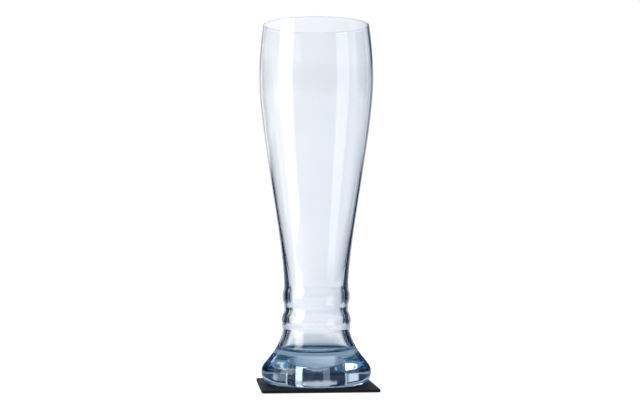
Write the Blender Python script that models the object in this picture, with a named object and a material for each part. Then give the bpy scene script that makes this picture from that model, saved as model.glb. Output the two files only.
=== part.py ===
"""Wheat beer glass with a magnet in its foot, standing on its square steel-cored gel pad.

Metres, +Z up. The origin is the middle of the pad's underside, where the pad lies on the table.
"""
import math

import bmesh
import bpy
import numpy as np
from mathutils import Vector
from mathutils.geometry import interpolate_bezier

MM = 0.001

# Pad: a gel layer, a steel sheet and a cover whose rim is turned down round the sheet
PAD_INSIDE_BELLY = 0.2 * MM
PAD_CORNER_RADIUS = 2.0 * MM
PAD_EDGE_ROUND = 0.2 * MM
GEL_THICKNESS = 0.9 * MM
STEEL_THICKNESS = 0.5 * MM
STEEL_CORNER_RADIUS = 1.0 * MM
COVER_THICKNESS = 0.5 * MM
COVER_RIM_WIDTH = 1.2 * MM

# Fits
BOND_LINE = 0.1 * MM
SEAT_GAP = 0.3 * MM

# Outside of the glass: heights are above its base, pulls are the lengths of a curve's upright handles
GLASS_HEIGHT = 250.0 * MM
RIM_INSIDE_BELLY = 2.9 * MM
RIM_TO_BELLY = 37.5 * MM
BELLY_RADIUS = 40.0 * MM
TAPER_BELLY_PULL = 36.3 * MM
TAPER_WAIST_PULL = 32.2 * MM
WAIST_HEIGHT = 64.8 * MM
WAIST_RADIUS = 22.1 * MM
NECK_HEIGHT = 49.6 * MM
FLARE_NECK_PULL = 29.0 * MM
FLARE_EDGE_PULL = 8.8 * MM
FOOT_EDGE_HEIGHT = 8.8 * MM
FOOT_INSIDE_BELLY = 1.9 * MM

# The two soft rings round the neck: middle height, how far they swell, and their reach up and down
UPPER_RING_HEIGHT = 60.2 * MM
UPPER_RING_SWELL = 1.3 * MM
UPPER_RING_REACH = 8.4 * MM
LOWER_RING_HEIGHT = 43.9 * MM
LOWER_RING_SWELL = 1.7 * MM
LOWER_RING_REACH = 8.2 * MM

# Inside of the glass: the wall thins from the waist up, and the foot is solid below the floor
LIP_WALL = 1.5 * MM
WAIST_WALL = 3.3 * MM
WALL_THINNING_HEIGHT = 60.0 * MM
INSIDE_ECHO = 0.9  # share of the rings and of the foot's flare that the inside follows
FLOOR_HEIGHT = 21.3 * MM
FLOOR_FILLET = 2.6 * MM

# Underside of the foot: a flat contact ring, a shallow hollow and the magnet's recess
FOOT_CORNER_WIDTH = 5.2 * MM
CONTACT_WIDTH = 4.0 * MM
HOLLOW_RISE = 0.8 * MM

# Holding magnet in its steel cup, glued into the recess and closed by a thin disc
MAGNET_RADIUS = 12.8 * MM
MAGNET_THICKNESS = 5.0 * MM
MAGNET_CHAMFER = 0.4 * MM
CUP_ROOF = 1.0 * MM
CUP_WALL = 1.2 * MM
CUP_EDGE_ROUND = 0.5 * MM
GLUE_ROOF = 0.4 * MM
GLUE_WALL = 0.3 * MM
COVER_DISC_THICKNESS = 0.8 * MM

# Fineness of the meshes
TURN_STEPS = 40
CORNER_STEPS = 5
ARC_STEPS = 6
CURVE_SAMPLES = 160
RING_STEP = 2.2 * MM
TAPER_STEP = 12.0 * MM
MERGE_DISTANCE = 0.001 * MM
SHARP_ANGLE = math.radians(30.0)

# The rim, the foot and the pad stay inside the belly's width, so that glasses stand belly to belly
RIM_RADIUS = BELLY_RADIUS - RIM_INSIDE_BELLY
FOOT_RADIUS = BELLY_RADIUS - FOOT_INSIDE_BELLY
CONTACT_RADIUS = FOOT_RADIUS - FOOT_CORNER_WIDTH
PAD_SIDE = 2.0 * (BELLY_RADIUS - PAD_INSIDE_BELLY)

# Levels of the pad's layers above the table
STEEL_BOTTOM = GEL_THICKNESS + BOND_LINE
STEEL_TOP = STEEL_BOTTOM + STEEL_THICKNESS
POCKET_CEILING = STEEL_TOP + BOND_LINE
PAD_TOP = POCKET_CEILING + COVER_THICKNESS
GLASS_BASE = PAD_TOP + SEAT_GAP

# Levels of the magnet's stack above the base of the glass
COVER_DISC_TOP = HOLLOW_RISE + COVER_DISC_THICKNESS
MAGNET_BOTTOM = COVER_DISC_TOP + BOND_LINE
MAGNET_TOP = MAGNET_BOTTOM + MAGNET_THICKNESS
CUP_CEILING = MAGNET_TOP + BOND_LINE
CUP_TOP = CUP_CEILING + CUP_ROOF
GLUE_CEILING = CUP_TOP + BOND_LINE
GLUE_TOP = GLUE_CEILING + GLUE_ROOF
RECESS_CEILING = GLUE_TOP + BOND_LINE

# Radii of the magnet's stack, from the magnet outwards
CUP_BORE = MAGNET_RADIUS + BOND_LINE
CUP_RADIUS = CUP_BORE + CUP_WALL
GLUE_BORE = CUP_RADIUS + BOND_LINE
GLUE_RADIUS = GLUE_BORE + GLUE_WALL
RECESS_RADIUS = GLUE_RADIUS + BOND_LINE

BELLY_HEIGHT = GLASS_HEIGHT - RIM_TO_BELLY
RINGS_TOP = UPPER_RING_HEIGHT + UPPER_RING_REACH
RINGS = (
    (LOWER_RING_HEIGHT, LOWER_RING_SWELL, LOWER_RING_REACH),
    (UPPER_RING_HEIGHT, UPPER_RING_SWELL, UPPER_RING_REACH),
)


def clear_scene():
    for old in list(bpy.data.objects):
        bpy.data.objects.remove(old, do_unlink=True)


def finish(name, colour, roughness, metallic=0.0, transmission=0.0):
    """A Principled material with one plain finish."""
    material = bpy.data.materials.new(name)
    material.use_nodes = True
    shader = material.node_tree.nodes["Principled BSDF"]
    shader.inputs["Base Color"].default_value = (*colour, 1.0)
    shader.inputs["Roughness"].default_value = roughness
    shader.inputs["Metallic"].default_value = metallic
    shader.inputs["Transmission Weight"].default_value = transmission
    return material


def add_piece(name, bm, material, parent=None):
    """Turn a closed bmesh into a named, smooth-shaded object."""
    bmesh.ops.recalc_face_normals(bm, faces=bm.faces)
    mesh = bpy.data.meshes.new(name)
    bm.to_mesh(mesh)
    bm.free()
    mesh.shade_smooth()
    mesh.set_sharp_from_angle(angle=SHARP_ANGLE)
    mesh.materials.append(material)
    piece = bpy.data.objects.new(name, mesh)
    piece.parent = parent
    bpy.context.collection.objects.link(piece)
    return piece


def turned_piece(name, outline, material, parent=None):
    """Turn an outline of (radius, height) points about Z; both its ends lie on the axis."""
    bm = bmesh.new()
    corners = [bm.verts.new((radius, 0.0, height)) for radius, height in outline]
    sides = [bm.edges.new(pair) for pair in zip(corners, corners[1:])]
    bmesh.ops.spin(
        bm,
        geom=corners + sides,
        cent=(0.0, 0.0, 0.0),
        axis=(0.0, 0.0, 1.0),
        angle=2.0 * math.pi,
        steps=TURN_STEPS,
    )
    bmesh.ops.remove_doubles(bm, verts=bm.verts, dist=MERGE_DISTANCE)
    return add_piece(name, bm, material, parent)


def rounded_square(bm, side, corner_radius, height):
    """Vertices of a level square with rounded corners, counter-clockwise."""
    middle = side / 2.0 - corner_radius
    loop = []
    for quarter, (sign_x, sign_y) in enumerate(((1, 1), (-1, 1), (-1, -1), (1, -1))):
        for step in range(CORNER_STEPS + 1):
            angle = (quarter + step / CORNER_STEPS) * math.pi / 2.0
            x = sign_x * middle + corner_radius * math.cos(angle)
            y = sign_y * middle + corner_radius * math.sin(angle)
            loop.append(bm.verts.new((x, y, height)))
    return loop


def lofted_slab(name, sections, material):
    """Skin rounded squares, given as (side, corner radius, height), and close both ends."""
    bm = bmesh.new()
    loops = [rounded_square(bm, *section) for section in sections]
    for lower, upper in zip(loops, loops[1:]):
        for index in range(len(lower)):
            following = (index + 1) % len(lower)
            bm.faces.new((lower[index], lower[following], upper[following], upper[index]))
    bm.faces.new(loops[0])
    bm.faces.new(loops[-1])
    return add_piece(name, bm, material)


def arc(middle, radius_x, radius_z, start, end):
    """Points on part of an ellipse in the (radius, height) plane, angles in degrees."""
    points = []
    for step in range(ARC_STEPS + 1):
        angle = math.radians(start + (end - start) * step / ARC_STEPS)
        points.append((middle[0] + radius_x * math.cos(angle), middle[1] + radius_z * math.sin(angle)))
    return points


def steps_between(low, high, longest):
    """Even heights from low to high, no further apart than longest."""
    count = max(1, math.ceil((high - low) / longest))
    return [low + (high - low) * index / count for index in range(count + 1)]


def upright_curve(start, start_pull, end, end_pull):
    """A curve that leaves start and reaches end along upright handles."""
    handles = (
        Vector(start),
        Vector((start[0], start[1] + start_pull)),
        Vector((end[0], end[1] - end_pull)),
        Vector(end),
    )
    return [tuple(point) for point in interpolate_bezier(*handles, CURVE_SAMPLES)]


def plain_outline():
    """Radii and heights of the glass from its foot edge to its belly, without the rings."""
    flare = upright_curve(
        (FOOT_RADIUS, FOOT_EDGE_HEIGHT), FLARE_EDGE_PULL, (WAIST_RADIUS, NECK_HEIGHT), FLARE_NECK_PULL
    )
    taper = upright_curve(
        (WAIST_RADIUS, WAIST_HEIGHT), TAPER_WAIST_PULL, (BELLY_RADIUS, BELLY_HEIGHT), TAPER_BELLY_PULL
    )
    radii, heights = zip(*flare, *taper)
    return radii, heights


PLAIN_RADII, PLAIN_HEIGHTS = plain_outline()


def plain_radius(height):
    """Outer radius without the rings; above the belly it closes in with the square of the rise."""
    if height > BELLY_HEIGHT:
        rise = (height - BELLY_HEIGHT) / RIM_TO_BELLY
        return BELLY_RADIUS - RIM_INSIDE_BELLY * rise**2
    return float(np.interp(height, PLAIN_HEIGHTS, PLAIN_RADII))


def ring_swell(height):
    """How far the rings stand out at a height, each a rounded swell."""
    swell = 0.0
    for middle, proud, reach in RINGS:
        if abs(height - middle) < reach:
            swell += proud * (1.0 + math.cos(math.pi * (height - middle) / reach)) / 2.0
    return swell


def outer_radius(height):
    return plain_radius(height) + ring_swell(height)


def wall_thickness(height):
    """Wall at the waist and below, thinning above it to the wall at the lip."""
    rise = min(max((height - WAIST_HEIGHT) / WALL_THINNING_HEIGHT, 0.0), 1.0)
    return LIP_WALL + (WAIST_WALL - LIP_WALL) * (1.0 - rise) ** 2


def inner_radius(height):
    """Inside of the glass, which follows most of the rings and of the flare below the neck."""
    unflared = plain_radius(max(height, NECK_HEIGHT))
    flare = plain_radius(height) - unflared
    return unflared - wall_thickness(height) + INSIDE_ECHO * (flare + ring_swell(height))


def floor_outline():
    """Flat floor and the round up to the wall, which turns past upright as the wall leans in over it."""
    middle_height = FLOOR_HEIGHT + FLOOR_FILLET
    leaning_in = inner_radius(FLOOR_HEIGHT) - inner_radius(middle_height + FLOOR_FILLET)
    lean = math.atan2(leaning_in, 2.0 * FLOOR_FILLET)
    top = middle_height + FLOOR_FILLET * math.sin(lean)
    middle = (inner_radius(top) - FLOOR_FILLET * math.cos(lean), middle_height)
    return [(0.0, FLOOR_HEIGHT)] + arc(middle, FLOOR_FILLET, FLOOR_FILLET, -90.0, math.degrees(lean))


def glass_outline():
    """From the middle of the floor up the inside, over the lip, down the outside and under the foot."""
    lip_round = LIP_WALL / 2.0
    lip_height = GLASS_HEIGHT - lip_round
    hollow_width = CONTACT_RADIUS - CONTACT_WIDTH - RECESS_RADIUS

    floor = floor_outline()
    inside_heights = steps_between(floor[-1][1], RINGS_TOP, RING_STEP)
    inside_heights += steps_between(RINGS_TOP, lip_height, TAPER_STEP)[1:]
    inside = [(inner_radius(height), height) for height in inside_heights]
    lip_middle = (outer_radius(lip_height) - lip_round, lip_height)
    lip = arc(lip_middle, lip_round, lip_round, 180.0, 0.0)
    outside_heights = steps_between(FOOT_EDGE_HEIGHT, RINGS_TOP, RING_STEP)
    outside_heights += steps_between(RINGS_TOP, lip_height, TAPER_STEP)[1:]
    outside = [(outer_radius(height), height) for height in reversed(outside_heights)]
    corner_middle = (CONTACT_RADIUS, FOOT_EDGE_HEIGHT)
    corner = arc(corner_middle, FOOT_CORNER_WIDTH, FOOT_EDGE_HEIGHT, 0.0, -90.0)
    hollow = arc((RECESS_RADIUS, 0.0), hollow_width, HOLLOW_RISE, 0.0, 90.0)
    recess = [(RECESS_RADIUS, RECESS_CEILING), (0.0, RECESS_CEILING)]
    return floor + inside[1:-1] + lip + outside[1:-1] + corner + hollow + recess


def magnet_outline():
    edge = MAGNET_RADIUS - MAGNET_CHAMFER
    return [
        (0.0, MAGNET_TOP),
        (edge, MAGNET_TOP),
        (MAGNET_RADIUS, MAGNET_TOP - MAGNET_CHAMFER),
        (MAGNET_RADIUS, MAGNET_BOTTOM + MAGNET_CHAMFER),
        (edge, MAGNET_BOTTOM),
        (0.0, MAGNET_BOTTOM),
    ]


def cup_outline():
    """Steel cup over the magnet, open below, with its outer edge rounded."""
    edge_middle = (CUP_RADIUS - CUP_EDGE_ROUND, CUP_TOP - CUP_EDGE_ROUND)
    edge = arc(edge_middle, CUP_EDGE_ROUND, CUP_EDGE_ROUND, 90.0, 0.0)
    bore = [(CUP_BORE, MAGNET_BOTTOM), (CUP_BORE, CUP_CEILING), (0.0, CUP_CEILING)]
    return [(0.0, CUP_TOP)] + edge + [(CUP_RADIUS, MAGNET_BOTTOM)] + bore


def glue_outline():
    """Film of glue over the top and round the side of the cup."""
    return [
        (0.0, GLUE_TOP),
        (GLUE_RADIUS, GLUE_TOP),
        (GLUE_RADIUS, MAGNET_BOTTOM),
        (GLUE_BORE, MAGNET_BOTTOM),
        (GLUE_BORE, GLUE_CEILING),
        (0.0, GLUE_CEILING),
    ]


def cover_disc_outline():
    """Thin disc that closes the recess, level with the edge of the hollow."""
    return [
        (0.0, COVER_DISC_TOP),
        (GLUE_RADIUS, COVER_DISC_TOP),
        (GLUE_RADIUS, HOLLOW_RISE),
        (0.0, HOLLOW_RISE),
    ]


def build_pad():
    """Gel below, steel sheet in the middle, and a cover that takes the sheet in a pocket."""
    steel_side = PAD_SIDE - 2.0 * (COVER_RIM_WIDTH + BOND_LINE)
    pocket_side = steel_side + 2.0 * BOND_LINE
    pocket_corner = STEEL_CORNER_RADIUS + BOND_LINE
    rounded_side = PAD_SIDE - 2.0 * PAD_EDGE_ROUND
    rounded_corner = PAD_CORNER_RADIUS - PAD_EDGE_ROUND
    lofted_slab(
        "pad_gel",
        [
            (rounded_side, rounded_corner, 0.0),
            (PAD_SIDE, PAD_CORNER_RADIUS, PAD_EDGE_ROUND),
            (PAD_SIDE, PAD_CORNER_RADIUS, GEL_THICKNESS),
        ],
        finish("tacky_gel", (0.03, 0.03, 0.032), 0.35),
    )
    lofted_slab(
        "pad_steel_sheet",
        [(steel_side, STEEL_CORNER_RADIUS, STEEL_BOTTOM), (steel_side, STEEL_CORNER_RADIUS, STEEL_TOP)],
        finish("steel_sheet", (0.45, 0.46, 0.47), 0.4, metallic=1.0),
    )
    lofted_slab(
        "pad_cover",
        [
            (pocket_side, pocket_corner, POCKET_CEILING),
            (pocket_side, pocket_corner, STEEL_BOTTOM),
            (PAD_SIDE, PAD_CORNER_RADIUS, STEEL_BOTTOM),
            (PAD_SIDE, PAD_CORNER_RADIUS, PAD_TOP - PAD_EDGE_ROUND),
            (rounded_side, rounded_corner, PAD_TOP),
        ],
        finish("charcoal_cover", (0.05, 0.05, 0.05), 0.6),
    )


def build_glass():
    """The glass and what its foot holds, under an empty that lifts straight off the pad."""
    lift = bpy.data.objects.new("glass_lift", None)
    lift.location = (0.0, 0.0, GLASS_BASE)
    bpy.context.collection.objects.link(lift)
    clear_glass = finish("clear_glass", (0.86, 0.92, 0.97), 0.02, transmission=1.0)
    turned_piece("glass_body", glass_outline(), clear_glass, lift)
    turned_piece("glue_film", glue_outline(), finish("clear_glue", (0.8, 0.82, 0.84), 0.2), lift)
    cup_steel = finish("cup_steel", (0.5, 0.52, 0.55), 0.4, metallic=1.0)
    turned_piece("magnet_cup", cup_outline(), cup_steel, lift)
    nickel = finish("magnet_nickel", (0.62, 0.61, 0.58), 0.25, metallic=1.0)
    turned_piece("holding_magnet", magnet_outline(), nickel, lift)
    stainless = finish("stainless_disc", (0.58, 0.59, 0.6), 0.3, metallic=1.0)
    turned_piece("recess_cover_disc", cover_disc_outline(), stainless, lift)


def main():
    clear_scene()
    build_pad()
    build_glass()


main()
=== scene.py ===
"""Looks of a wheat beer glass: clear blown glass with a magnet in its foot, on its square gel pad.

Laid out as an add-on: the sizes and colours are properties, each piece has an operator, and main()
runs the operators in order. Metres, +Z up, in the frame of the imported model.
"""
import math
from typing import NamedTuple

import bmesh
import bpy
import numpy as np
from bpy.props import FloatProperty, FloatVectorProperty, PointerProperty
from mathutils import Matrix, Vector
from mathutils.geometry import interpolate_bezier


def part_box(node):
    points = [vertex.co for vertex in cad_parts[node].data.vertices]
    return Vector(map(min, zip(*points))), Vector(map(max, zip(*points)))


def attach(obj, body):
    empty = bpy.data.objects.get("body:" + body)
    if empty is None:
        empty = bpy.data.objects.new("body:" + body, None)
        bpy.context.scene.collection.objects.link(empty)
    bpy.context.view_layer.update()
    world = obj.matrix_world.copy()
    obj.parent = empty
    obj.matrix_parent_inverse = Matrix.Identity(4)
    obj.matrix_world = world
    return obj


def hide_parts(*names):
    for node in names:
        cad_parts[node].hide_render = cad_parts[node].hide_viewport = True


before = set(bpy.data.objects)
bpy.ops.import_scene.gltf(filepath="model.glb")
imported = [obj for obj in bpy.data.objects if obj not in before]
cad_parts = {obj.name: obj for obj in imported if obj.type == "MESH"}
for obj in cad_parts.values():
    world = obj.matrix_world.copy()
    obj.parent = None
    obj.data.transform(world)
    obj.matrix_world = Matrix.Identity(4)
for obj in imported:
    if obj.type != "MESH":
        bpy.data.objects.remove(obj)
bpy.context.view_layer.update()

bl_info = {
    "name": "Wheat beer glass",
    "version": (1, 0, 0),
    "blender": (4, 5, 0),
    "location": "View3D > Sidebar > Wheat glass",
    "description": "Builds the looks of a wheat beer glass on its magnetic pad",
    "category": "Add Mesh",
}

MM = 0.001
WHITE = (1.0, 1.0, 1.0, 1.0)
BLACK = (0.0, 0.0, 0.0, 1.0)

# Fineness of the turned pieces and of the pad's corners
TURN_STEPS = 144
ARC_STEPS = 14
CURVE_SAMPLES = 600
RING_STEP = 0.7 * MM
TAPER_STEP = 2.5 * MM
CORNER_STEPS = 10
MERGE_DISTANCE = 0.001 * MM
SHARP_ANGLE = math.radians(30.0)

# The glass runs this far into the cup: clear glue bends light as glass does and leaves no edge to see
GLUE_WETTING = 0.03 * MM

# Glass: its refraction, and the length of glass that its tint is given for
REFRACTION = 1.5
TINT_DEPTH = 36.0 * MM

# Waves pressed into the foot: how many times as deep as the flow lines, and from none to full in height
PRESSED_TIMES = 28.0
PRESSED_EDGE = (46.0 * MM, 24.0 * MM)

POLISH_EDGE = 0.3 * MM  # width over which turned metal goes from satin to bright

# Floor: its outline, its drop under the pad, the share of its colour that takes light, and its soft end
FLOOR_RADIUS = 0.8
FLOOR_SEGMENTS = 96
FLOOR_GAP = 0.05 * MM
FLOOR_SHARE = 0.55
FLOOR_FADE_EDGE = (0.45, 0.8)

# Glow of the floor to the camera: its level at the pad, and the distances over which it turns white
FLOOR_GLOW = 0.80
FLOOR_GLOW_EDGE = (0.1, 0.2)

# Glow of the floor to the glass, with a painted shadow near the pad and painted shade in mirrored light:
# its level far out, the share of it that the painted shade takes in mirrored light, and the distances
# over which the painted shadow rises to that level, sooner past these degrees off straight behind the glass
FLOOR_LIGHT = 0.76
FLOOR_MIRRORED_PAINTED_SHADE = 0.8
FLOOR_BEHIND_EDGE = (0.08, 0.6)
FLOOR_BESIDE_EDGE = (0.06, 0.2)
FLOOR_BESIDE_SPREAD = (34.0, 44.0)


class Panel(NamedTuple):
    """Soft-edged part of the studio, in degrees right of straight behind the glass and above level."""

    start: float
    end: float
    low: float
    high: float
    strength: float


PANEL_SOFTNESS = 2.0  # degrees to each side over which an edge fades
PAST_BACK = 190.0  # an edge here lies past straight behind the camera, where nothing fades

# Backdrop: its glow, and the degrees over which it dims at its right and brightens again further round
BACKDROP_GLOW = 1.06
DIM_EDGE = (-6.0, 18.0)
DIM_END = (70.0, 95.0)

# Thin dark flags before the backdrop, which draw the edges of the bowl
EDGE_FLAGS = (
    Panel(start=-26.0, end=-13.5, low=-4.0, high=6.5, strength=0.6),
    Panel(start=-26.0, end=-13.5, low=6.5, high=12.0, strength=0.8),
    Panel(start=15.0, end=34.0, low=-4.0, high=7.0, strength=0.65),
    Panel(start=15.0, end=38.0, low=7.0, high=14.0, strength=0.9),
)

# Dark panels beside the backdrop, which draw the dark bands of the waist
DARK_PANELS = (
    Panel(start=-80.0, end=-39.0, low=-3.0, high=9.5, strength=1.0),
    Panel(start=40.0, end=118.0, low=-4.0, high=9.0, strength=1.0),
    Panel(start=118.0, end=146.0, low=0.0, high=9.0, strength=0.75),
)

# Windows that glint in the foot, shown only by light that is mirrored in the glass and leaves it once
WINDOWS = (
    Panel(start=30.0, end=41.0, low=24.0, high=33.0, strength=1.0),
    Panel(start=-117.0, end=-84.0, low=-3.0, high=8.0, strength=1.8),
    Panel(start=-PAST_BACK, end=-117.0, low=9.0, high=14.0, strength=0.9),
    Panel(start=112.0, end=PAST_BACK, low=9.0, high=14.0, strength=0.9),
)

# Dark room behind the camera, seen through the glass: from and to in degrees, and its foot and top
ROOM_SIDES = (
    (-PAST_BACK, -112.0),
    (146.0, PAST_BACK),
)
ROOM_FLOOR_EDGE = (-18.0, 3.0)
ROOM_TOP_EDGE = (7.0, 17.0)

# The same room on the outside of the glass: degrees off straight behind where it begins, and its foot
MIRROR_ROOM_EDGE = (95.0, 110.0)
MIRROR_FLOOR_EDGE = (-26.0, -2.0)

# Walls: the heights over which they begin through the glass and, as its outside mirrors them, the same,
# how far off straight behind they begin and how many times as bright they are
WALL_EDGE = (10.0, 18.0)
MIRROR_WALL_EDGE = (20.0, 30.0)
MIRROR_WALL_SPREAD = (30.0, 45.0)
MIRROR_WALL_GLOW = 2.2


class Card(NamedTuple):
    """A pair of low dark cards that stand behind the glass, one at each side.

    Start and end are degrees off straight behind, and the cards fade in and out over the given heights.
    With mirrored_only they show in light that a surface has mirrored, and not straight through glass.
    """

    name: str
    start: float
    end: float
    distance: float
    fade_in: tuple
    fade_out: tuple
    mirrored_only: bool = True


CARDS = (
    Card("near_card", 23.0, 83.0, 0.16, fade_in=(0.030, 0.036), fade_out=(0.082, 0.092)),
    Card("middle_card", 19.0, 82.0, 0.42, fade_in=(0.006, 0.015), fade_out=(0.125, 0.16)),
    Card("far_card", 18.0, 42.0, 0.62, fade_in=(-0.03, -0.02), fade_out=(0.054, 0.068), mirrored_only=False),
)
CARD_STEPS = 12

# Softbox above: its sides, its place and its target
OVERHEAD_SIDES = (0.8, 0.8)
OVERHEAD_SPOT = (0.0, 0.1, 1.25)
OVERHEAD_TARGET = (0.0, 0.0, 0.1)

# Tall softbox: its bearing from the camera's right, its distance, width, low and high edge, the lowest
# share of it that only the outside of the glass shows, and its share of glow through more than one wall
KEY_BEARING = math.radians(207.0)
KEY_DISTANCE = 0.45
KEY_WIDTH = 0.285
KEY_LOW = -0.1
KEY_HIGH = 0.5
KEY_OUTSIDE_ONLY = 0.3
KEY_FAR_SHARE = 0.45

# Far softbox, high behind at the left: its bearing from the camera's right, distance, height and sides
BACK_BEARING = math.radians(123.0)
BACK_DISTANCE = 2.0
BACK_HEIGHT = 1.02
BACK_SIDES = (0.8, 0.4)

SOFTBOX_FADE = 0.25  # share of a softbox's half side over which its light fades out
OUTSIDE_ONLY_FADE = 0.1  # share of a softbox's height over which its outside-only part ends

# Camera and bounces of light
SENSOR_WIDTH = 36.0
CLIP_START = 10.0 * MM
GLASS_BOUNCES = 24
MIRROR_BOUNCES = 16
SEE_THROUGH_LAYERS = 16


def size(name, description, millimetres):
    return FloatProperty(
        name=name, description=description, default=millimetres * MM, unit="LENGTH", precision=5
    )


def turn(name, description, degrees):
    return FloatProperty(
        name=name, description=description, default=math.radians(degrees), subtype="ANGLE"
    )


def level(name, description, default):
    return FloatProperty(name=name, description=description, default=default, min=0.0)


def colour(name, description, *default):
    return FloatVectorProperty(
        name=name, description=description, default=default, size=3, min=0.0, max=1.0, subtype="COLOR"
    )


class GlassSizes(bpy.types.PropertyGroup):
    """Outline of the blown glass, with heights above its base."""

    rim_to_belly: size("Rim to belly", "Drop from the rim to the widest part", 37.5)
    rim_inside_belly: size("Rim inside belly", "How far the mouth closes in above the belly", 2.9)
    taper_belly_pull: size("Taper pull at belly", "Upright handle of the taper at the belly", 36.3)
    taper_waist_pull: size("Taper pull at waist", "Upright handle of the taper at the waist", 32.2)
    waist_height: size("Waist height", "Where the taper ends above the base", 64.8)
    waist_radius: size("Waist radius", "Outer radius between the taper and the flare", 22.1)
    neck_height: size("Neck height", "Where the flare to the foot begins", 49.6)
    flare_neck_pull: size("Flare pull at neck", "Upright handle of the flare at the neck", 29.0)
    flare_edge_pull: size("Flare pull at edge", "Upright handle of the flare at the foot's edge", 8.8)
    foot_edge_height: size("Foot edge height", "Height of the widest part of the foot", 8.8)
    foot_inside_belly: size("Foot inside belly", "How far the foot stays inside the belly's width", 1.9)
    foot_corner_width: size("Foot corner width", "Width of the round under the foot's edge", 5.2)
    upper_ring_height: size("Upper ring height", "Middle of the upper ring", 60.2)
    upper_ring_swell: size("Upper ring swell", "How far the upper ring stands out", 1.3)
    upper_ring_reach: size("Upper ring reach", "How far the upper ring runs up and down", 8.4)
    lower_ring_height: size("Lower ring height", "Middle of the lower ring", 43.9)
    lower_ring_swell: size("Lower ring swell", "How far the lower ring stands out", 1.7)
    lower_ring_reach: size("Lower ring reach", "How far the lower ring runs up and down", 8.2)
    inside_echo: FloatProperty(
        name="Inside echo",
        description="Share of the rings and of the foot's flare that the inside follows",
        default=0.9,
        subtype="FACTOR",
    )
    lip_wall: size("Lip wall", "Wall at the lip", 1.5)
    waist_wall: size("Waist wall", "Wall at the waist and below", 3.3)
    thinning_height: size("Thinning height", "Rise above the waist over which the wall thins", 60.0)
    floor_height: size("Floor height", "Inside floor above the base", 21.3)
    floor_fillet: size("Floor fillet", "Round between the floor and the wall", 2.6)
    contact_width: size("Contact width", "Width of the flat ring that the glass stands on", 4.0)
    hollow_rise: size("Hollow rise", "Depth of the shallow hollow under the foot", 0.8)


class MagnetSizes(bpy.types.PropertyGroup):
    """Walls and rounds of the magnet's cup and disc; their other sizes come from the frame."""

    cup_wall: size("Cup wall", "Side wall of the steel cup", 1.2)
    cup_roof: size("Cup roof", "Top of the steel cup", 1.0)
    cup_edge_round: size("Cup edge round", "Round of the cup's top edge", 0.5)
    disc_edge_round: size("Disc edge round", "Round of the closing disc's edges", 0.15)
    disc_clearance: size("Disc clearance", "Gap between the closing disc and the glass", 0.1)


class PadSizes(bpy.types.PropertyGroup):
    """Rounds of the pad; its other sizes come from the frame."""

    corner_radius: size("Corner radius", "Corners of the square", 2.0)
    edge_round: size("Edge round", "Soft round of the cover's top edge", 0.4)
    gel_bulge: size("Gel bulge", "How far the gel's side bulges between its faces", 0.15)
    pocket_corner: size("Pocket corner", "Corners of the cover's pocket for the steel sheet", 1.1)


class FinishColours(bpy.types.PropertyGroup):
    """Colours of the finishes and of the studio."""

    glass: colour("Glass", "Faint tint that each wall of the glass adds", 0.962, 0.972, 1.0)
    glass_loss: colour("Glass tint", "Share of each colour that 36 mm of glass takes", 0.24, 0.15, 0.08)
    plating: colour("Cup plating", "Satin plating of the magnet's cup", 0.90, 0.91, 0.93)
    nickel: colour("Nickel", "Bright plating of the magnet", 0.62, 0.61, 0.58)
    stainless: colour("Stainless", "Disc that closes the recess", 0.58, 0.59, 0.60)
    glue: colour("Glue", "Clear glue round the cup", 0.80, 0.82, 0.84)
    cover: colour("Cover", "Charcoal cover of the pad", 0.024, 0.024, 0.026)
    cover_grain: colour("Cover grain", "Hollows of the cover's grain", 0.011, 0.011, 0.012)
    steel: colour("Steel sheet", "Cold rolled sheet in the pad", 0.45, 0.46, 0.47)
    gel: colour("Gel", "Tacky gel under the pad", 0.022, 0.022, 0.024)
    floor: colour("Floor", "Pale floor", 0.86, 0.87, 0.88)
    gap: colour("Studio gap", "Dark panels round the white studio", 0.006, 0.020, 0.056)
    # Painted shade: the glass shows the floor in this colour close to the pad, and mostly in it in mirrored
    # light
    floor_shade: colour("Floor shade", "Glow of the floor close behind the pad", 0.02, 0.07, 0.13)
    shaded: colour("Shaded backdrop", "Right of the backdrop, which gets less light", 0.60, 0.68, 0.74)
    wall: colour("Studio wall", "Walls and ceiling over the dark panels", 0.15, 0.31, 0.47)


class StudioSettings(bpy.types.PropertyGroup):
    """Camera and light."""

    camera_distance: size("Camera distance", "From the axis of the glass", 928.8)
    camera_height: size("Camera height", "Above the floor", 104.4)
    camera_turn: turn("Camera turn", "Round the glass from the pad's front", -5.2)
    camera_pitch: turn("Camera pitch", "Above level", 1.496)
    camera_yaw: turn("Camera yaw", "To the right of the glass", 0.163)
    camera_lens: FloatProperty(
        name="Camera lens",
        description="Focal length on a 36 mm wide sensor",
        default=74.86,
        unit="CAMERA",
    )
    ambient: level("Ambient", "Even light on matt surfaces", 0.45)
    overhead: level("Overhead softbox", "Brightness of the softbox above", 2.0)
    key: level("Tall softbox", "Brightness of the tall softbox at the left", 4.5)
    back: level("Back softbox", "Brightness of the far softbox behind", 3.5)


class WheatGlassSettings(bpy.types.PropertyGroup):
    """All the sizes and colours."""

    glass: PointerProperty(type=GlassSizes, name="Glass", description="Outline of the glass")
    magnet: PointerProperty(type=MagnetSizes, name="Magnet", description="Magnet's cup and disc")
    pad: PointerProperty(type=PadSizes, name="Pad", description="Rounds of the pad")
    colours: PointerProperty(type=FinishColours, name="Colours", description="Finishes and studio")
    studio: PointerProperty(type=StudioSettings, name="Studio", description="Camera and light")


def arithmetic(operation, reflected=False):
    """A Python operator that adds a Math node."""

    def apply(value, other):
        first, second = (other, value) if reflected else (value, other)
        return value.shading.math(operation, first, second)

    return apply


class Value:
    """An output of a shader node that takes part in Python expressions."""

    __add__ = arithmetic("ADD")
    __radd__ = arithmetic("ADD", reflected=True)
    __sub__ = arithmetic("SUBTRACT")
    __rsub__ = arithmetic("SUBTRACT", reflected=True)
    __mul__ = arithmetic("MULTIPLY")
    __rmul__ = arithmetic("MULTIPLY", reflected=True)

    def __init__(self, shading, socket):
        self.shading = shading
        self.socket = socket


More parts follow.
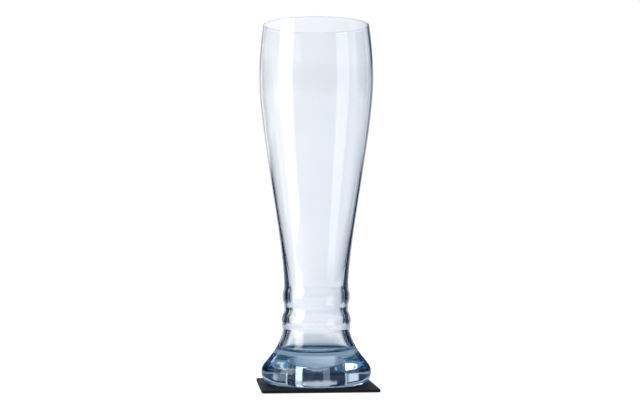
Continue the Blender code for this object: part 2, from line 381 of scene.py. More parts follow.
class Shading:
    """Adds the nodes of one material or of the world."""

    def __init__(self, owner):
        owner.use_nodes = True
        self.tree = owner.node_tree
        self.tree.nodes.clear()

    def node(self, kind, settings=None, inputs=None, output=0):
        """Add a node, set it up, fill or link its sockets, and return one of its outputs."""
        made = self.tree.nodes.new(kind)
        for name, setting in (settings or {}).items():
            setattr(made, name, setting)
        for name, value in (inputs or {}).items():
            if isinstance(value, Value):
                self.tree.links.new(value.socket, made.inputs[name])
            else:
                made.inputs[name].default_value = value
        return Value(self, made.outputs[output]) if made.outputs else None

    def math(self, operation, first, second=0.0):
        return self.node("ShaderNodeMath", {"operation": operation}, {0: first, 1: second})

    def place(self):
        """Position on the piece, in metres."""
        return self.node("ShaderNodeTexCoord", output="Object")

    def stretched(self, vector, *factors):
        """A vector with each axis times its own factor."""
        return self.node("ShaderNodeVectorMath", {"operation": "MULTIPLY"}, {0: vector, 1: factors})

    def axes(self, vector):
        """X, Y and Z of a vector."""
        return [self.node("ShaderNodeSeparateXYZ", inputs={0: vector}, output=axis) for axis in "XYZ"]

    def axis_distance(self, vector):
        """Distance from the upright axis of the glass."""
        x, y, _ = self.axes(vector)
        return self.math("SQRT", x * x + y * y)

    def noise(self, vector, feature, detail=3.0):
        """Soft noise from 0 to 1 whose blotches are about one feature wide."""
        inputs = {"Vector": vector, "Scale": 1.0 / feature, "Detail": detail}
        return self.node("ShaderNodeTexNoise", inputs=inputs)

    def step(self, value, start, end):
        """Smooth change from 0 at start to 1 at end, which may lie below start."""
        inputs = {"Value": value, "From Min": start, "From Max": end}
        return self.node("ShaderNodeMapRange", {"interpolation_type": "SMOOTHSTEP"}, inputs)

    def between(self, value, low, high):
        """1 from low to high in degrees, with the soft edges of the panels."""
        rise = self.step(value, low - PANEL_SOFTNESS, low + PANEL_SOFTNESS)
        fall = self.step(value, high - PANEL_SOFTNESS, high + PANEL_SOFTNESS)
        return rise * (1.0 - fall)

    def light(self, output):
        """What a ray of light has met on its way here."""
        return self.node("ShaderNodeLightPath", output=output)

    def mirrored(self):
        """1 for light that a surface has mirrored on its way, 0 for light straight through glass."""
        return self.math("GREATER_THAN", self.light("Glossy Depth"), 0.5)

    def in_one_wall(self):
        """1 for light that went into glass and out once at most, 0 for light through more walls."""
        return self.math("LESS_THAN", self.light("Transmission Depth"), 2.5)

    def aside(self, x, y, camera_turn):
        """Degrees to the right of straight behind the glass, as the camera sees it."""
        bearing = self.math("ARCTAN2", y, x) - camera_turn
        right, behind = self.math("COSINE", bearing), self.math("SINE", bearing)
        return self.math("ARCTAN2", right, behind) * math.degrees(1.0)

    def blend(self, factor, first, second):
        """Colour between first and second; a Mix node's colour sockets are told apart by number."""
        inputs = {0: factor, 6: first, 7: second}
        return self.node("ShaderNodeMix", {"data_type": "RGBA"}, inputs, output=2)

    def bump(self, height, depth):
        """Normal of a surface whose relief is height times depth."""
        return self.node("ShaderNodeBump", inputs={"Height": height, "Strength": 1.0, "Distance": depth})

    def close(self, inputs, volume=None):
        """End the material in a Principled shader and, for glass, a volume."""
        ends = {"Surface": self.node("ShaderNodeBsdfPrincipled", inputs=inputs)}
        if volume:
            ends["Volume"] = volume
        self.node("ShaderNodeOutputMaterial", inputs=ends)


def opaque(rgb):
    return (*rgb, 1.0)


def shade(rgb, factor):
    """A colour made lighter or darker."""
    return opaque([channel * factor for channel in rgb[:3]])


def clear_glass(colours):
    """Polished glass with faint flow lines, a wavy foot and finger smears; its depth turns it blue."""
    material = bpy.data.materials.new("clear_glass")
    shading = Shading(material)
    place = shading.place()
    upright = shading.stretched(place, 1.0, 1.0, 0.12)
    flow = shading.noise(upright, feature=9.0 * MM, detail=1.0)
    pressed = shading.noise(place, feature=12.0 * MM, detail=0.0)
    foot = shading.step(shading.axes(place)[2], *PRESSED_EDGE)
    smears = shading.step(shading.noise(place, feature=26.0 * MM), 0.5, 0.75)
    losses = [-math.log(1.0 - share) / TINT_DEPTH for share in colours.glass_loss]
    density = max(losses)
    tint = opaque([1.0 - loss / density for loss in losses])
    shading.close(
        {
            "Base Color": opaque(colours.glass),
            "Roughness": 0.012 * smears,
            "IOR": REFRACTION,
            "Transmission Weight": 1.0,
            "Normal": shading.bump(flow + PRESSED_TIMES * foot * pressed, depth=0.012 * MM),
        },
        volume=shading.node("ShaderNodeVolumeAbsorption", inputs={"Color": tint, "Density": density}),
    )
    return material


def clear_glue(colours):
    """Cured clear glue with a few cloudy patches."""
    material = bpy.data.materials.new("clear_glue")
    shading = Shading(material)
    cloud = shading.noise(shading.place(), feature=3.0 * MM)
    shading.close(
        {
            "Base Color": shading.blend(cloud, shade(colours.glue, 0.8), opaque(colours.glue)),
            "Roughness": 0.2 + 0.2 * cloud,
            "Alpha": 0.02 + 0.06 * cloud,
        }
    )
    return material


def turned_metal(name, rgb, groove, satin, bright, bright_from):
    """Metal turned on a lathe: fine rings, satin inside bright_from and brighter outside it."""
    material = bpy.data.materials.new(name)
    shading = Shading(material)
    place = shading.place()
    out = shading.axis_distance(place)
    rings = shading.math("SINE", out * (2.0 * math.pi / groove))
    blotches = shading.noise(place, feature=4.0 * MM)
    polish = shading.step(out, bright_from, bright_from + POLISH_EDGE)
    marks = 0.5 + 0.25 * rings + 0.5 * (blotches - 0.5)
    shading.close(
        {
            "Base Color": shading.blend(marks, shade(rgb, 0.92), opaque(rgb)),
            "Metallic": 1.0,
            "Roughness": satin + (bright - satin) * polish + 0.05 * (blotches - 0.5),
            "Normal": shading.bump(rings * (1.0 - polish), depth=0.002 * MM),
        }
    )
    return material


def bright_nickel(colours):
    """Nickel plating with fine hairlines along X."""
    material = bpy.data.materials.new("magnet_nickel")
    shading = Shading(material)
    along = shading.stretched(shading.place(), 1.0, 14.0, 3.0)
    hairlines = shading.noise(along, feature=2.0 * MM, detail=6.0)
    shading.close(
        {
            "Base Color": shading.blend(hairlines, shade(colours.nickel, 0.85), opaque(colours.nickel)),
            "Metallic": 1.0,
            "Roughness": 0.16 + 0.2 * hairlines,
            "Normal": shading.bump(hairlines, depth=0.003 * MM),
        }
    )
    return material


def rolled_steel(colours):
    """Cold rolled sheet with its grain along X."""
    material = bpy.data.materials.new("steel_sheet")
    shading = Shading(material)
    along = shading.stretched(shading.place(), 0.03, 1.0, 1.0)
    grain = shading.noise(along, feature=0.3 * MM, detail=4.0)
    shading.close(
        {
            "Base Color": shading.blend(grain, shade(colours.steel, 0.8), opaque(colours.steel)),
            "Metallic": 1.0,
            "Roughness": 0.3 + 0.2 * grain,
            "Normal": shading.bump(grain, depth=0.004 * MM),
        }
    )
    return material


def charcoal_cover(colours):
    """Fine grained charcoal cover with broad, faintly paler patches."""
    material = bpy.data.materials.new("charcoal_cover")
    shading = Shading(material)
    place = shading.place()
    grain_width = 0.55 * MM
    inputs = {"Vector": place, "Scale": 1.0 / grain_width}
    grain = shading.node("ShaderNodeTexVoronoi", {"feature": "SMOOTH_F1"}, inputs)
    patches = shading.noise(place, feature=14.0 * MM)
    dust = shading.noise(place, feature=0.25 * MM, detail=1.0)
    hollows = 0.75 * grain + 0.25 * dust
    deep = shading.step(hollows, 0.1, 0.6)
    base = shading.blend(deep, opaque(colours.cover), opaque(colours.cover_grain))
    shading.close(
        {
            "Base Color": shading.blend(0.35 * patches, base, shade(colours.cover, 1.35)),
            "Roughness": 0.55 + 0.16 * patches + 0.1 * dust,
            "Specular IOR Level": 0.12,
            "Normal": shading.bump(1.0 - hollows, depth=0.05 * MM),
        }
    )
    return material


def tacky_gel(colours):
    """Black gel, glossy with faint dust."""
    material = bpy.data.materials.new("tacky_gel")
    shading = Shading(material)
    place = shading.place()
    dust = shading.noise(place, feature=0.6 * MM, detail=5.0)
    dusty = shading.step(dust, 0.55, 0.8)
    waves = shading.noise(place, feature=5.0 * MM)
    shading.close(
        {
            "Base Color": shading.blend(dusty, opaque(colours.gel), shade(colours.gel, 2.5)),
            "Roughness": 0.28 + 0.3 * dust,
            "Normal": shading.bump(waves, depth=0.05 * MM),
        }
    )
    return material


def add_object(name, bm):
    """Turn a bmesh into a named, smooth-shaded object."""
    bmesh.ops.recalc_face_normals(bm, faces=bm.faces)
    mesh = bpy.data.meshes.new(name)
    bm.to_mesh(mesh)
    bm.free()
    mesh.shade_smooth()
    mesh.set_sharp_from_angle(angle=SHARP_ANGLE)
    made = bpy.data.objects.new(name, mesh)
    bpy.context.scene.collection.objects.link(made)
    return made


def turned_piece(name, outline):
    """Turn an outline of (radius, height) points about Z; both its ends lie on the axis."""
    bm = bmesh.new()
    corners = [bm.verts.new((radius, 0.0, height)) for radius, height in outline]
    sides = [bm.edges.new(pair) for pair in zip(corners, corners[1:])]
    bmesh.ops.spin(
        bm,
        geom=corners + sides,
        cent=(0.0, 0.0, 0.0),
        axis=(0.0, 0.0, 1.0),
        angle=2.0 * math.pi,
        steps=TURN_STEPS,
    )
    bmesh.ops.remove_doubles(bm, verts=bm.verts, dist=MERGE_DISTANCE)
    return add_object(name, bm)


def rounded_square(bm, side, corner_radius, height):
    """Vertices of a level square with rounded corners, counter-clockwise."""
    middle = side / 2.0 - corner_radius
    loop = []
    for quarter, (sign_x, sign_y) in enumerate(((1, 1), (-1, 1), (-1, -1), (1, -1))):
        for step in range(CORNER_STEPS + 1):
            angle = (quarter + step / CORNER_STEPS) * math.pi / 2.0
            x = sign_x * middle + corner_radius * math.cos(angle)
            y = sign_y * middle + corner_radius * math.sin(angle)
            loop.append(bm.verts.new((x, y, height)))
    return loop


def lofted_slab(name, sections):
    """Skin rounded squares, given as (side, corner radius, height), and close both ends."""
    bm = bmesh.new()
    loops = [rounded_square(bm, *section) for section in sections]
    for lower, upper in zip(loops, loops[1:]):
        for index in range(len(lower)):
            following = (index + 1) % len(lower)
            bm.faces.new((lower[index], lower[following], upper[following], upper[index]))
    bm.faces.new(loops[0])
    bm.faces.new(loops[-1])
    return add_object(name, bm)


def arc(middle, radius_x, radius_z, start, end):
    """Points on part of an ellipse in the (radius, height) plane, angles in degrees."""
    points = []
    for step in range(ARC_STEPS + 1):
        angle = math.radians(start + (end - start) * step / ARC_STEPS)
        points.append((middle[0] + radius_x * math.cos(angle), middle[1] + radius_z * math.sin(angle)))
    return points


def steps_between(low, high, longest):
    """Even heights from low to high, no further apart than longest."""
    count = max(1, math.ceil((high - low) / longest))
    return [low + (high - low) * index / count for index in range(count + 1)]


def upright_curve(start, start_pull, end, end_pull):
    """A curve that leaves start and reaches end along upright handles."""
    handles = (
        Vector(start),
        Vector((start[0], start[1] + start_pull)),
        Vector((end[0], end[1] - end_pull)),
        Vector(end),
    )
    return [tuple(point) for point in interpolate_bezier(*handles, CURVE_SAMPLES)]


def cup_edge(sizes, inset=0.0):
    """Round of the cup's top edge, from its top to its side, drawn in by an inset."""
    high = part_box("magnet_cup")[1]
    middle = (high.x - sizes.cup_edge_round, high.z - sizes.cup_edge_round)
    radius = sizes.cup_edge_round - inset
    return arc(middle, radius, radius, 90.0, 0.0)


class GlassOutline:
    """Radii of the blown glass at each height above its base."""

    def __init__(self, sizes, magnet):
        low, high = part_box("glass_body")
        self.sizes = sizes
        self.magnet = magnet
        self.base = low.z
        self.height = high.z - low.z
        self.belly_radius = high.x
        self.belly_height = self.height - sizes.rim_to_belly
        self.foot_radius = self.belly_radius - sizes.foot_inside_belly
        self.rings = (
            (sizes.lower_ring_height, sizes.lower_ring_swell, sizes.lower_ring_reach),
            (sizes.upper_ring_height, sizes.upper_ring_swell, sizes.upper_ring_reach),
        )
        self.rings_top = sizes.upper_ring_height + sizes.upper_ring_reach
        flare = upright_curve(
            (self.foot_radius, sizes.foot_edge_height),
            sizes.flare_edge_pull,
            (sizes.waist_radius, sizes.neck_height),
            sizes.flare_neck_pull,
        )
        taper = upright_curve(
            (sizes.waist_radius, sizes.waist_height),
            sizes.taper_waist_pull,
            (self.belly_radius, self.belly_height),
            sizes.taper_belly_pull,
        )
        self.plain_radii, self.plain_heights = zip(*flare, *taper)

    def plain_radius(self, height):
        """Outer radius without the rings; above the belly it closes in with the square of the rise."""
        if height > self.belly_height:
            rise = (height - self.belly_height) / self.sizes.rim_to_belly
            return self.belly_radius - self.sizes.rim_inside_belly * rise**2
        return float(np.interp(height, self.plain_heights, self.plain_radii))

    def ring_swell(self, height):
        """How far the rings stand out at a height, each a rounded swell."""
        swell = 0.0
        for middle, proud, reach in self.rings:
            if abs(height - middle) < reach:
                swell += proud * (1.0 + math.cos(math.pi * (height - middle) / reach)) / 2.0
        return swell

    def outer_radius(self, height):
        return self.plain_radius(height) + self.ring_swell(height)

    def wall(self, height):
        """Wall at the waist and below, thinning above it to the wall at the lip."""
        sizes = self.sizes
        rise = min(max((height - sizes.waist_height) / sizes.thinning_height, 0.0), 1.0)
        return sizes.lip_wall + (sizes.waist_wall - sizes.lip_wall) * (1.0 - rise) ** 2

    def inner_radius(self, height):
        """Inside of the glass, which follows most of the rings and of the flare below the neck."""
        unflared = self.plain_radius(max(height, self.sizes.neck_height))
        flare = self.plain_radius(height) - unflared
        followed = self.sizes.inside_echo * (flare + self.ring_swell(height))
        return unflared - self.wall(height) + followed

    def floor(self):
        """Flat floor and the round up to the wall, past upright where the wall leans in over it."""
        low, radius = self.sizes.floor_height, self.sizes.floor_fillet
        leaning_in = self.inner_radius(low) - self.inner_radius(low + 2.0 * radius)
        lean = math.atan2(leaning_in, 2.0 * radius)
        top = low + radius + radius * math.sin(lean)
        middle = (self.inner_radius(top) - radius * math.cos(lean), low + radius)
        return [(0.0, low)] + arc(middle, radius, radius, -90.0, math.degrees(lean))

    def heights_above(self, low):
        """Heights between low and the lip, closer together up to the top of the rings."""
        heights = steps_between(low, self.rings_top, RING_STEP)
        heights += steps_between(self.rings_top, self.height - self.sizes.lip_wall / 2.0, TAPER_STEP)[1:]
        return heights[1:-1]

    def inside(self):
        """From the middle of the floor up to the lip."""
        floor = self.floor()
        heights = self.heights_above(floor[-1][1])
        return floor + [(self.inner_radius(height), height) for height in heights]

    def lip(self):
        """Fire-polished round over the wall."""
        radius = self.sizes.lip_wall / 2.0
        height = self.height - radius
        return arc((self.outer_radius(height) - radius, height), radius, radius, 180.0, 0.0)

    def outside(self):
        """From the lip down to the foot's edge and round under it to the contact ring."""
        sizes = self.sizes
        heights = self.heights_above(sizes.foot_edge_height)
        middle = (self.foot_radius - sizes.foot_corner_width, sizes.foot_edge_height)
        side = [(self.outer_radius(height), height) for height in reversed(heights)]
        return side + arc(middle, sizes.foot_corner_width, sizes.foot_edge_height, 0.0, -90.0)

    def underside(self):
        """Shallow hollow, rebate for the closing disc, and the recess wetted on to the cup."""
        sizes = self.sizes
        cup_low, cup_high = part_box("magnet_cup")
        disc_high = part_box("recess_cover_disc")[1]
        rebate_radius = disc_high.x + self.magnet.disc_clearance
        rebate_top = (disc_high.z + cup_low.z) / 2.0 - self.base
        contact_edge = self.foot_radius - sizes.foot_corner_width - sizes.contact_width
        hollow = arc((rebate_radius, 0.0), contact_edge - rebate_radius, sizes.hollow_rise, 0.0, 90.0)
        rebate = [(rebate_radius, rebate_top), (cup_high.x - GLUE_WETTING, rebate_top)]
        edge = [(radius, height - self.base) for radius, height in cup_edge(self.magnet, GLUE_WETTING)]
        return hollow + rebate + edge[::-1] + [(0.0, edge[0][1])]

    def points(self):
        """The whole outline, standing on the pad."""
        outline = self.inside() + self.lip() + self.outside() + self.underside()
        return [(radius, height + self.base) for radius, height in outline]


def dress(node, material):
    """Give a carried-over node its finish."""
    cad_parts[node].data.materials[0] = material


def settle(piece, material, body, node):
    """Finish a piece, stand it in for its node and let it ride on its body."""
    piece.data.materials.append(material)
    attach(piece, body)
    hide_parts(node)


class WHEATGLASS_OT_glass_body(bpy.types.Operator):
    """Blow the glass: barrel mouth, long taper, ringed neck and heavy foot"""

    bl_idname = "wheat_glass.glass_body"
    bl_label = "Glass body"

    def execute(self, context):
        settings = context.scene.wheat_glass
        outline = GlassOutline(settings.glass, settings.magnet).points()
        piece = turned_piece("blown_glass", outline)
        settle(piece, clear_glass(settings.colours), "glass", "glass_body")
        return {"FINISHED"}


class WHEATGLASS_OT_magnet_cup(bpy.types.Operator):
    """Turn the steel cup that the foot's magnet sits in"""

    bl_idname = "wheat_glass.magnet_cup"
    bl_label = "Magnet cup"

    def execute(self, context):
        settings = context.scene.wheat_glass
        low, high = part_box("magnet_cup")
        bore = high.x - settings.magnet.cup_wall
        ceiling = high.z - settings.magnet.cup_roof
        below = [(high.x, low.z), (bore, low.z), (bore, ceiling), (0.0, ceiling)]
        piece = turned_piece("plated_cup", [(0.0, high.z)] + cup_edge(settings.magnet) + below)
        finish = turned_metal(
            "cup_plating",
            settings.colours.plating,
            groove=0.5 * MM,
            satin=0.16,
            bright=0.03,
            bright_from=high.x - settings.magnet.cup_edge_round,
        )
        settle(piece, finish, "glass", "magnet_cup")
        return {"FINISHED"}


class WHEATGLASS_OT_cover_disc(bpy.types.Operator):
    """Turn the thin disc that closes the magnet's recess"""

    bl_idname = "wheat_glass.cover_disc"
    bl_label = "Recess disc"

    def execute(self, context):
        settings = context.scene.wheat_glass
        low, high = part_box("recess_cover_disc")
        radius = settings.magnet.disc_edge_round
        edge = high.x - radius
        top_edge = arc((edge, high.z - radius), radius, radius, 90.0, 0.0)
        low_edge = arc((edge, low.z + radius), radius, radius, 0.0, -90.0)
        piece = turned_piece("closing_disc", [(0.0, high.z)] + top_edge + low_edge + [(0.0, low.z)])
        finish = turned_metal(
            "turned_stainless",
            settings.colours.stainless,
            groove=0.4 * MM,
            satin=0.3,
            bright=0.2,
            bright_from=edge,
        )
        settle(piece, finish, "glass", "recess_cover_disc")
        return {"FINISHED"}


class WHEATGLASS_OT_hidden_core(bpy.types.Operator):
    """Finish the magnet, its glue and the pad's steel sheet, which keep their solids"""

    bl_idname = "wheat_glass.hidden_core"
    bl_label = "Magnet, glue and steel sheet"

    def execute(self, context):
        colours = context.scene.wheat_glass.colours
        dress("holding_magnet", bright_nickel(colours))
        dress("glue_film", clear_glue(colours))
        dress("pad_steel_sheet", rolled_steel(colours))
        return {"FINISHED"}


class WHEATGLASS_OT_pad_cover(bpy.types.Operator):
    """Mould the charcoal cover with its soft top edge and its pocket for the steel sheet"""

    bl_idname = "wheat_glass.pad_cover"
    bl_label = "Pad cover"

    def execute(self, context):
        settings = context.scene.wheat_glass
        sizes = settings.pad
        low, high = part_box("pad_cover")
        sheet_low, sheet_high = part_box("pad_steel_sheet")
        side = high.x - low.x
        bond_line = low.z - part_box("pad_gel")[1].z
        pocket = sheet_high.x - sheet_low.x + 2.0 * bond_line
        ceiling = sheet_high.z + bond_line
        sections = [(pocket, sizes.pocket_corner, ceiling), (pocket, sizes.pocket_corner, low.z)]
        sections.append((side, sizes.corner_radius, low.z))
        radius = sizes.edge_round
        for reach, height in arc((0.0, high.z - radius), radius, radius, 0.0, 90.0):
            drawn_in = radius - reach
            sections.append((side - 2.0 * drawn_in, sizes.corner_radius - drawn_in, height))
        piece = lofted_slab("charcoal_pad_cover", sections)
        settle(piece, charcoal_cover(settings.colours), "pad", "pad_cover")
        return {"FINISHED"}


class WHEATGLASS_OT_gel_layer(bpy.types.Operator):
    """Cast the tacky gel layer under the pad, with its side a little bulged"""

    bl_idname = "wheat_glass.gel_layer"
    bl_label = "Gel layer"

    def execute(self, context):
        settings = context.scene.wheat_glass
        sizes = settings.pad
        low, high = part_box("pad_gel")
        side = high.x - low.x
        middle = (0.0, (low.z + high.z) / 2.0)
        sections = []
        for bulge, height in arc(middle, sizes.gel_bulge, (high.z - low.z) / 2.0, -90.0, 90.0):
            drawn_in = sizes.gel_bulge - bulge
            sections.append((side - 2.0 * drawn_in, sizes.corner_radius - drawn_in, height))
        piece = lofted_slab("tacky_gel_layer", sections)
        settle(piece, tacky_gel(settings.colours), "pad", "pad_gel")
        return {"FINISHED"}


class WHEATGLASS_OT_studio(bpy.types.Operator):
    """Set up the pale floor, the soft light and the camera"""

    bl_idname = "wheat_glass.studio"
    bl_label = "Studio"

    def execute(self, context):
        settings = context.scene.wheat_glass
        lay_floor(settings)
        surround_with_light(context.scene, settings)
        for card in CARDS:
            for end, side in (("left", -1.0), ("right", 1.0)):
                stand_card(f"{card.name}_{end}", card, side, settings)
        hang_softboxes(settings.studio)
        place_camera(context.scene, settings.studio)
        choose_rendering(context.scene)
        return {"FINISHED"}


def lay_floor(settings):
    """A wide pale floor that glows a little, so that it reads white and still takes the shadow.

    The glass shows it with a painted shadow close to the pad, reaching further straight behind the glass,
    and with painted shade in mirrored light.
    """
    bm = bmesh.new()
    bmesh.ops.create_circle(bm, cap_ends=True, segments=FLOOR_SEGMENTS, radius=FLOOR_RADIUS)
    floor = add_object("pale_floor", bm)
    floor.location.z = -FLOOR_GAP
    material = bpy.data.materials.new("pale_floor")
    shading = Shading(material)
    colours = settings.colours
    place = shading.place()
    x, y, _ = shading.axes(place)
    out = shading.axis_distance(place)
    spread = shading.math("ABSOLUTE", shading.aside(x, y, settings.studio.camera_turn))
    speckle = shading.noise(place, feature=2.0 * MM)
    pale = shade(colours.floor, FLOOR_SHARE)
    to_camera = shading.blend(shading.step(out, *FLOOR_GLOW_EDGE), shade(WHITE, FLOOR_GLOW), WHITE)
    # Painted shadow round the pad, which only the glass shows and which reaches further straight behind it,
    # and painted shade on the floor in mirrored light
    behind = shading.step(out, *FLOOR_BEHIND_EDGE)
    beside = shading.step(spread, *FLOOR_BESIDE_SPREAD) * shading.step(out, *FLOOR_BESIDE_EDGE)
    clear_of_painted_shade = shading.math("MAXIMUM", behind, beside) * (1.0 - FLOOR_MIRRORED_PAINTED_SHADE * shading.mirrored())
    to_glass = shading.blend(clear_of_painted_shade, opaque(colours.floor_shade), shade(WHITE, FLOOR_LIGHT))
    shading.close(
        {
            "Base Color": shading.blend(speckle, shade(pale, 0.97), pale),
            "Roughness": 0.9,
            "Specular IOR Level": 0.0,
            "Emission Color": shading.blend(shading.light("Is Camera Ray"), to_glass, to_camera),
            "Emission Strength": 1.0,
            "Alpha": 1.0 - shading.step(out, *FLOOR_FADE_EDGE),
        }
    )
    floor.data.materials.append(material)


def surround_with_light(scene, settings):
    """White to the camera, even light on matt surfaces, and a studio for the glass to show.

    Through the glass show a white backdrop that dims at its right, dark panels beside it, a dark room
    behind the camera, bluish walls above and a few windows. The outside of the glass mirrors the
    backdrop, the dark room and, higher up, the walls at the sides.
    """
    world = bpy.data.worlds.new("studio")
    scene.world = world
    shading = Shading(world)
    colours = settings.colours
    gap = opaque(colours.gap)
    x, y, z = shading.axes(shading.node("ShaderNodeTexCoord", output="Generated"))
    height = shading.math("ARCSINE", z) * math.degrees(1.0)
    aside = shading.aside(x, y, settings.studio.camera_turn)
    spread = shading.math("ABSOLUTE", aside)

    def inside(panel):
        """1 between the edges of a panel, 0 beyond them."""
        across = shading.between(aside, panel.start, panel.end)
        return across * shading.between(height, panel.low, panel.high)

    dim = shading.step(aside, *DIM_EDGE) * (1.0 - shading.step(aside, *DIM_END))
    backdrop = shading.blend(dim, shade(WHITE, BACKDROP_GLOW), opaque(colours.shaded))
    for flag in EDGE_FLAGS:
        backdrop = shading.blend(flag.strength * inside(flag), backdrop, gap)

    seen = backdrop
    for panel in DARK_PANELS:
        seen = shading.blend(panel.strength * inside(panel), seen, gap)
    room = shading.step(height, *ROOM_FLOOR_EDGE) * (1.0 - shading.step(height, *ROOM_TOP_EDGE))
    for start, end in ROOM_SIDES:
        seen = shading.blend(room * shading.between(aside, start, end), seen, gap)
    seen = shading.blend(shading.step(height, *WALL_EDGE), seen, opaque(colours.wall))
    glinting = shading.mirrored() * shading.in_one_wall()
    for window in WINDOWS:
        seen = shading.blend(glinting * inside(window), seen, shade(WHITE, window.strength))

    room = shading.step(spread, *MIRROR_ROOM_EDGE) * shading.step(height, *MIRROR_FLOOR_EDGE)
    walls = shading.step(height, *MIRROR_WALL_EDGE) * shading.step(spread, *MIRROR_WALL_SPREAD)
    reflected = shading.blend(room, backdrop, gap)
    reflected = shading.blend(walls, reflected, shade(colours.wall, MIRROR_WALL_GLOW))

    ambient = opaque([settings.studio.ambient] * 3)
    shown = shading.blend(shading.light("Is Glossy Ray"), ambient, reflected)
    shown = shading.blend(shading.light("Is Transmission Ray"), shown, seen)
    shown = shading.blend(shading.light("Is Camera Ray"), shown, WHITE)
    background = shading.node("ShaderNodeBackground", inputs={"Color": shown})
    shading.node("ShaderNodeOutputWorld", inputs={"Surface": background})


def round_the_glass(bearing, distance, height):
    """A place at a bearing from +X round the axis of the glass."""
    return (distance * math.cos(bearing), distance * math.sin(bearing), height)


def stand_card(name, card, side, settings):
    """A low dark card that the waist and the foot show at one side, -1 for left and 1 for right."""
    camera_turn = settings.studio.camera_turn
    bm = bmesh.new()
    uprights = []
    for step in range(CARD_STEPS + 1):
        degrees = side * (card.start + (card.end - card.start) * step / CARD_STEPS)
        bearing = math.pi / 2.0 - math.radians(degrees) + camera_turn
        ends = [round_the_glass(bearing, card.distance, z) for z in (card.fade_in[0], card.fade_out[1])]
        uprights.append([bm.verts.new(end) for end in ends])
    for first, second in zip(uprights, uprights[1:]):
        bm.faces.new((first[0], second[0], second[1], first[1]))
    flat = add_object(name, bm)
    flat.visible_camera = False
    flat.visible_diffuse = False
    flat.visible_shadow = False
    material = bpy.data.materials.new(name)
    shading = Shading(material)
    x, y, z = shading.axes(shading.place())
    spread = side * shading.aside(x, y, camera_turn)
    shown = shading.between(spread, card.start + PANEL_SOFTNESS, card.end - PANEL_SOFTNESS)
    shown = shown * shading.step(z, *card.fade_in) * (1.0 - shading.step(z, *card.fade_out))
    shading.close(
        {
            "Base Color": BLACK,
            "Specular IOR Level": 0.0,
            "Emission Color": opaque(settings.colours.gap),
            "Emission Strength": 1.0,
            "Alpha": shown * shading.mirrored() if card.mirrored_only else shown,
        }
    )
    flat.data.materials.append(material)


def hang_softboxes(studio):
    """One above, a tall one that draws the white stripes on the bowl, and one that lights the foot."""
    add_softbox("softbox_overhead", studio.overhead, OVERHEAD_SIDES, OVERHEAD_SPOT, OVERHEAD_TARGET)
    middle = (KEY_LOW + KEY_HIGH) / 2.0
    add_softbox(
        "softbox_tall",
        studio.key,
        sides=(KEY_WIDTH, KEY_HIGH - KEY_LOW),
        spot=round_the_glass(KEY_BEARING + studio.camera_turn, KEY_DISTANCE, middle),
        target=(0.0, 0.0, middle),
        outside_only=KEY_OUTSIDE_ONLY,
        far_share=KEY_FAR_SHARE,
    )
    add_softbox(
        "softbox_back",
        studio.back,
        sides=BACK_SIDES,
        spot=round_the_glass(BACK_BEARING + studio.camera_turn, BACK_DISTANCE, BACK_HEIGHT),
        target=(0.0, 0.0, 0.0),
    )


def add_softbox(name, brightness, sides, spot, target, outside_only=0.0, far_share=1.0):
    """A glowing panel with soft edges, aimed at a target; the camera doesn't see it.

    Light straight through the glass doesn't show it. Only the outside of the glass shows its lowest
    part, a share of its height, and light through more than one wall shows it at a share of its glow.
    """
    half = 0.5  # half a side of the unit square that is scaled to the softbox
    bm = bmesh.new()
    bmesh.ops.create_grid(bm, x_segments=1, y_segments=1, size=half)
    softbox = add_object(name, bm)
    softbox.scale = (*sides, 1.0)
    softbox.location = spot
    softbox.rotation_euler = (Vector(target) - Vector(spot)).to_track_quat("Z", "Y").to_euler()
    softbox.visible_camera = False
    softbox.visible_shadow = False
    material = bpy.data.materials.new(name)
    shading = Shading(material)
    across, along, _ = shading.axes(shading.place())
    through = shading.light("Is Transmission Ray")
    glow = 1.0 - through * (1.0 - shading.mirrored())
    for offset in (across, along):
        glow = glow * shading.step(shading.math("ABSOLUTE", offset), half, half - half * SOFTBOX_FADE)
    if outside_only:
        start = outside_only - half
        above = shading.step(along, start, start + OUTSIDE_ONLY_FADE)
        glow = glow * (1.0 - through * (1.0 - above))
    glow = glow * (far_share + (1.0 - far_share) * shading.in_one_wall())
    shading.close(
        {
            "Base Color": BLACK,
            "Specular IOR Level": 0.0,
            "Emission Color": WHITE,
            "Emission Strength": brightness,
            "Alpha": glow,
        }
    )
    softbox.data.materials.append(material)


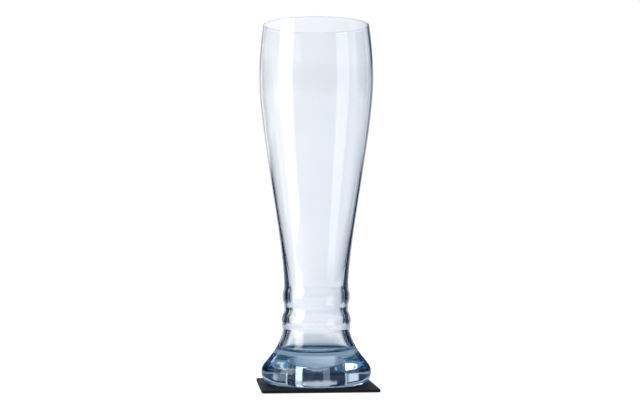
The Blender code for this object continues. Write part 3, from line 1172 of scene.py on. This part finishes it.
def place_camera(scene, studio):
    """A long lens low over the table, a little left of the pad's front."""
    lens = bpy.data.cameras.new("camera")
    lens.lens = studio.camera_lens
    lens.sensor_width = SENSOR_WIDTH
    lens.clip_start = CLIP_START
    camera = bpy.data.objects.new("camera", lens)
    camera.location = (
        studio.camera_distance * math.sin(studio.camera_turn),
        -studio.camera_distance * math.cos(studio.camera_turn),
        studio.camera_height,
    )
    camera.rotation_euler = (
        math.pi / 2.0 + studio.camera_pitch,
        0.0,
        studio.camera_turn - studio.camera_yaw,
    )
    scene.collection.objects.link(camera)
    scene.camera = camera


def choose_rendering(scene):
    """Plain colours, and enough bounces for light to cross both walls and the foot."""
    scene.view_settings.view_transform = "Standard"
    scene.cycles.max_bounces = GLASS_BOUNCES
    scene.cycles.transmission_bounces = GLASS_BOUNCES
    scene.cycles.glossy_bounces = MIRROR_BOUNCES
    scene.cycles.transparent_max_bounces = SEE_THROUGH_LAYERS


class WHEATGLASS_PT_panel(bpy.types.Panel):
    """Sizes, colours and pieces of the wheat beer glass"""

    bl_label = "Wheat beer glass"
    bl_idname = "WHEATGLASS_PT_panel"
    bl_space_type = "VIEW_3D"
    bl_region_type = "UI"
    bl_category = "Wheat glass"

    def draw(self, context):
        settings = context.scene.wheat_glass
        for operator in PIECES:
            self.layout.operator(operator.bl_idname)
        for group in (settings.glass, settings.magnet, settings.pad, settings.colours, settings.studio):
            box = self.layout.box()
            for name in group.__annotations__:
                box.prop(group, name)


PIECES = (
    WHEATGLASS_OT_glass_body,
    WHEATGLASS_OT_magnet_cup,
    WHEATGLASS_OT_cover_disc,
    WHEATGLASS_OT_hidden_core,
    WHEATGLASS_OT_pad_cover,
    WHEATGLASS_OT_gel_layer,
    WHEATGLASS_OT_studio,
)
GROUPS = (GlassSizes, MagnetSizes, PadSizes, FinishColours, StudioSettings, WheatGlassSettings)


def register():
    for made in GROUPS + PIECES + (WHEATGLASS_PT_panel,):
        bpy.utils.register_class(made)
    bpy.types.Scene.wheat_glass = PointerProperty(type=WheatGlassSettings)


def unregister():
    del bpy.types.Scene.wheat_glass
    for made in reversed(GROUPS + PIECES + (WHEATGLASS_PT_panel,)):
        bpy.utils.unregister_class(made)


def main():
    register()
    bpy.ops.wheat_glass.glass_body()
    bpy.ops.wheat_glass.magnet_cup()
    bpy.ops.wheat_glass.cover_disc()
    bpy.ops.wheat_glass.hidden_core()
    bpy.ops.wheat_glass.pad_cover()
    bpy.ops.wheat_glass.gel_layer()
    bpy.ops.wheat_glass.studio()


if __name__ == "__main__":
    main()
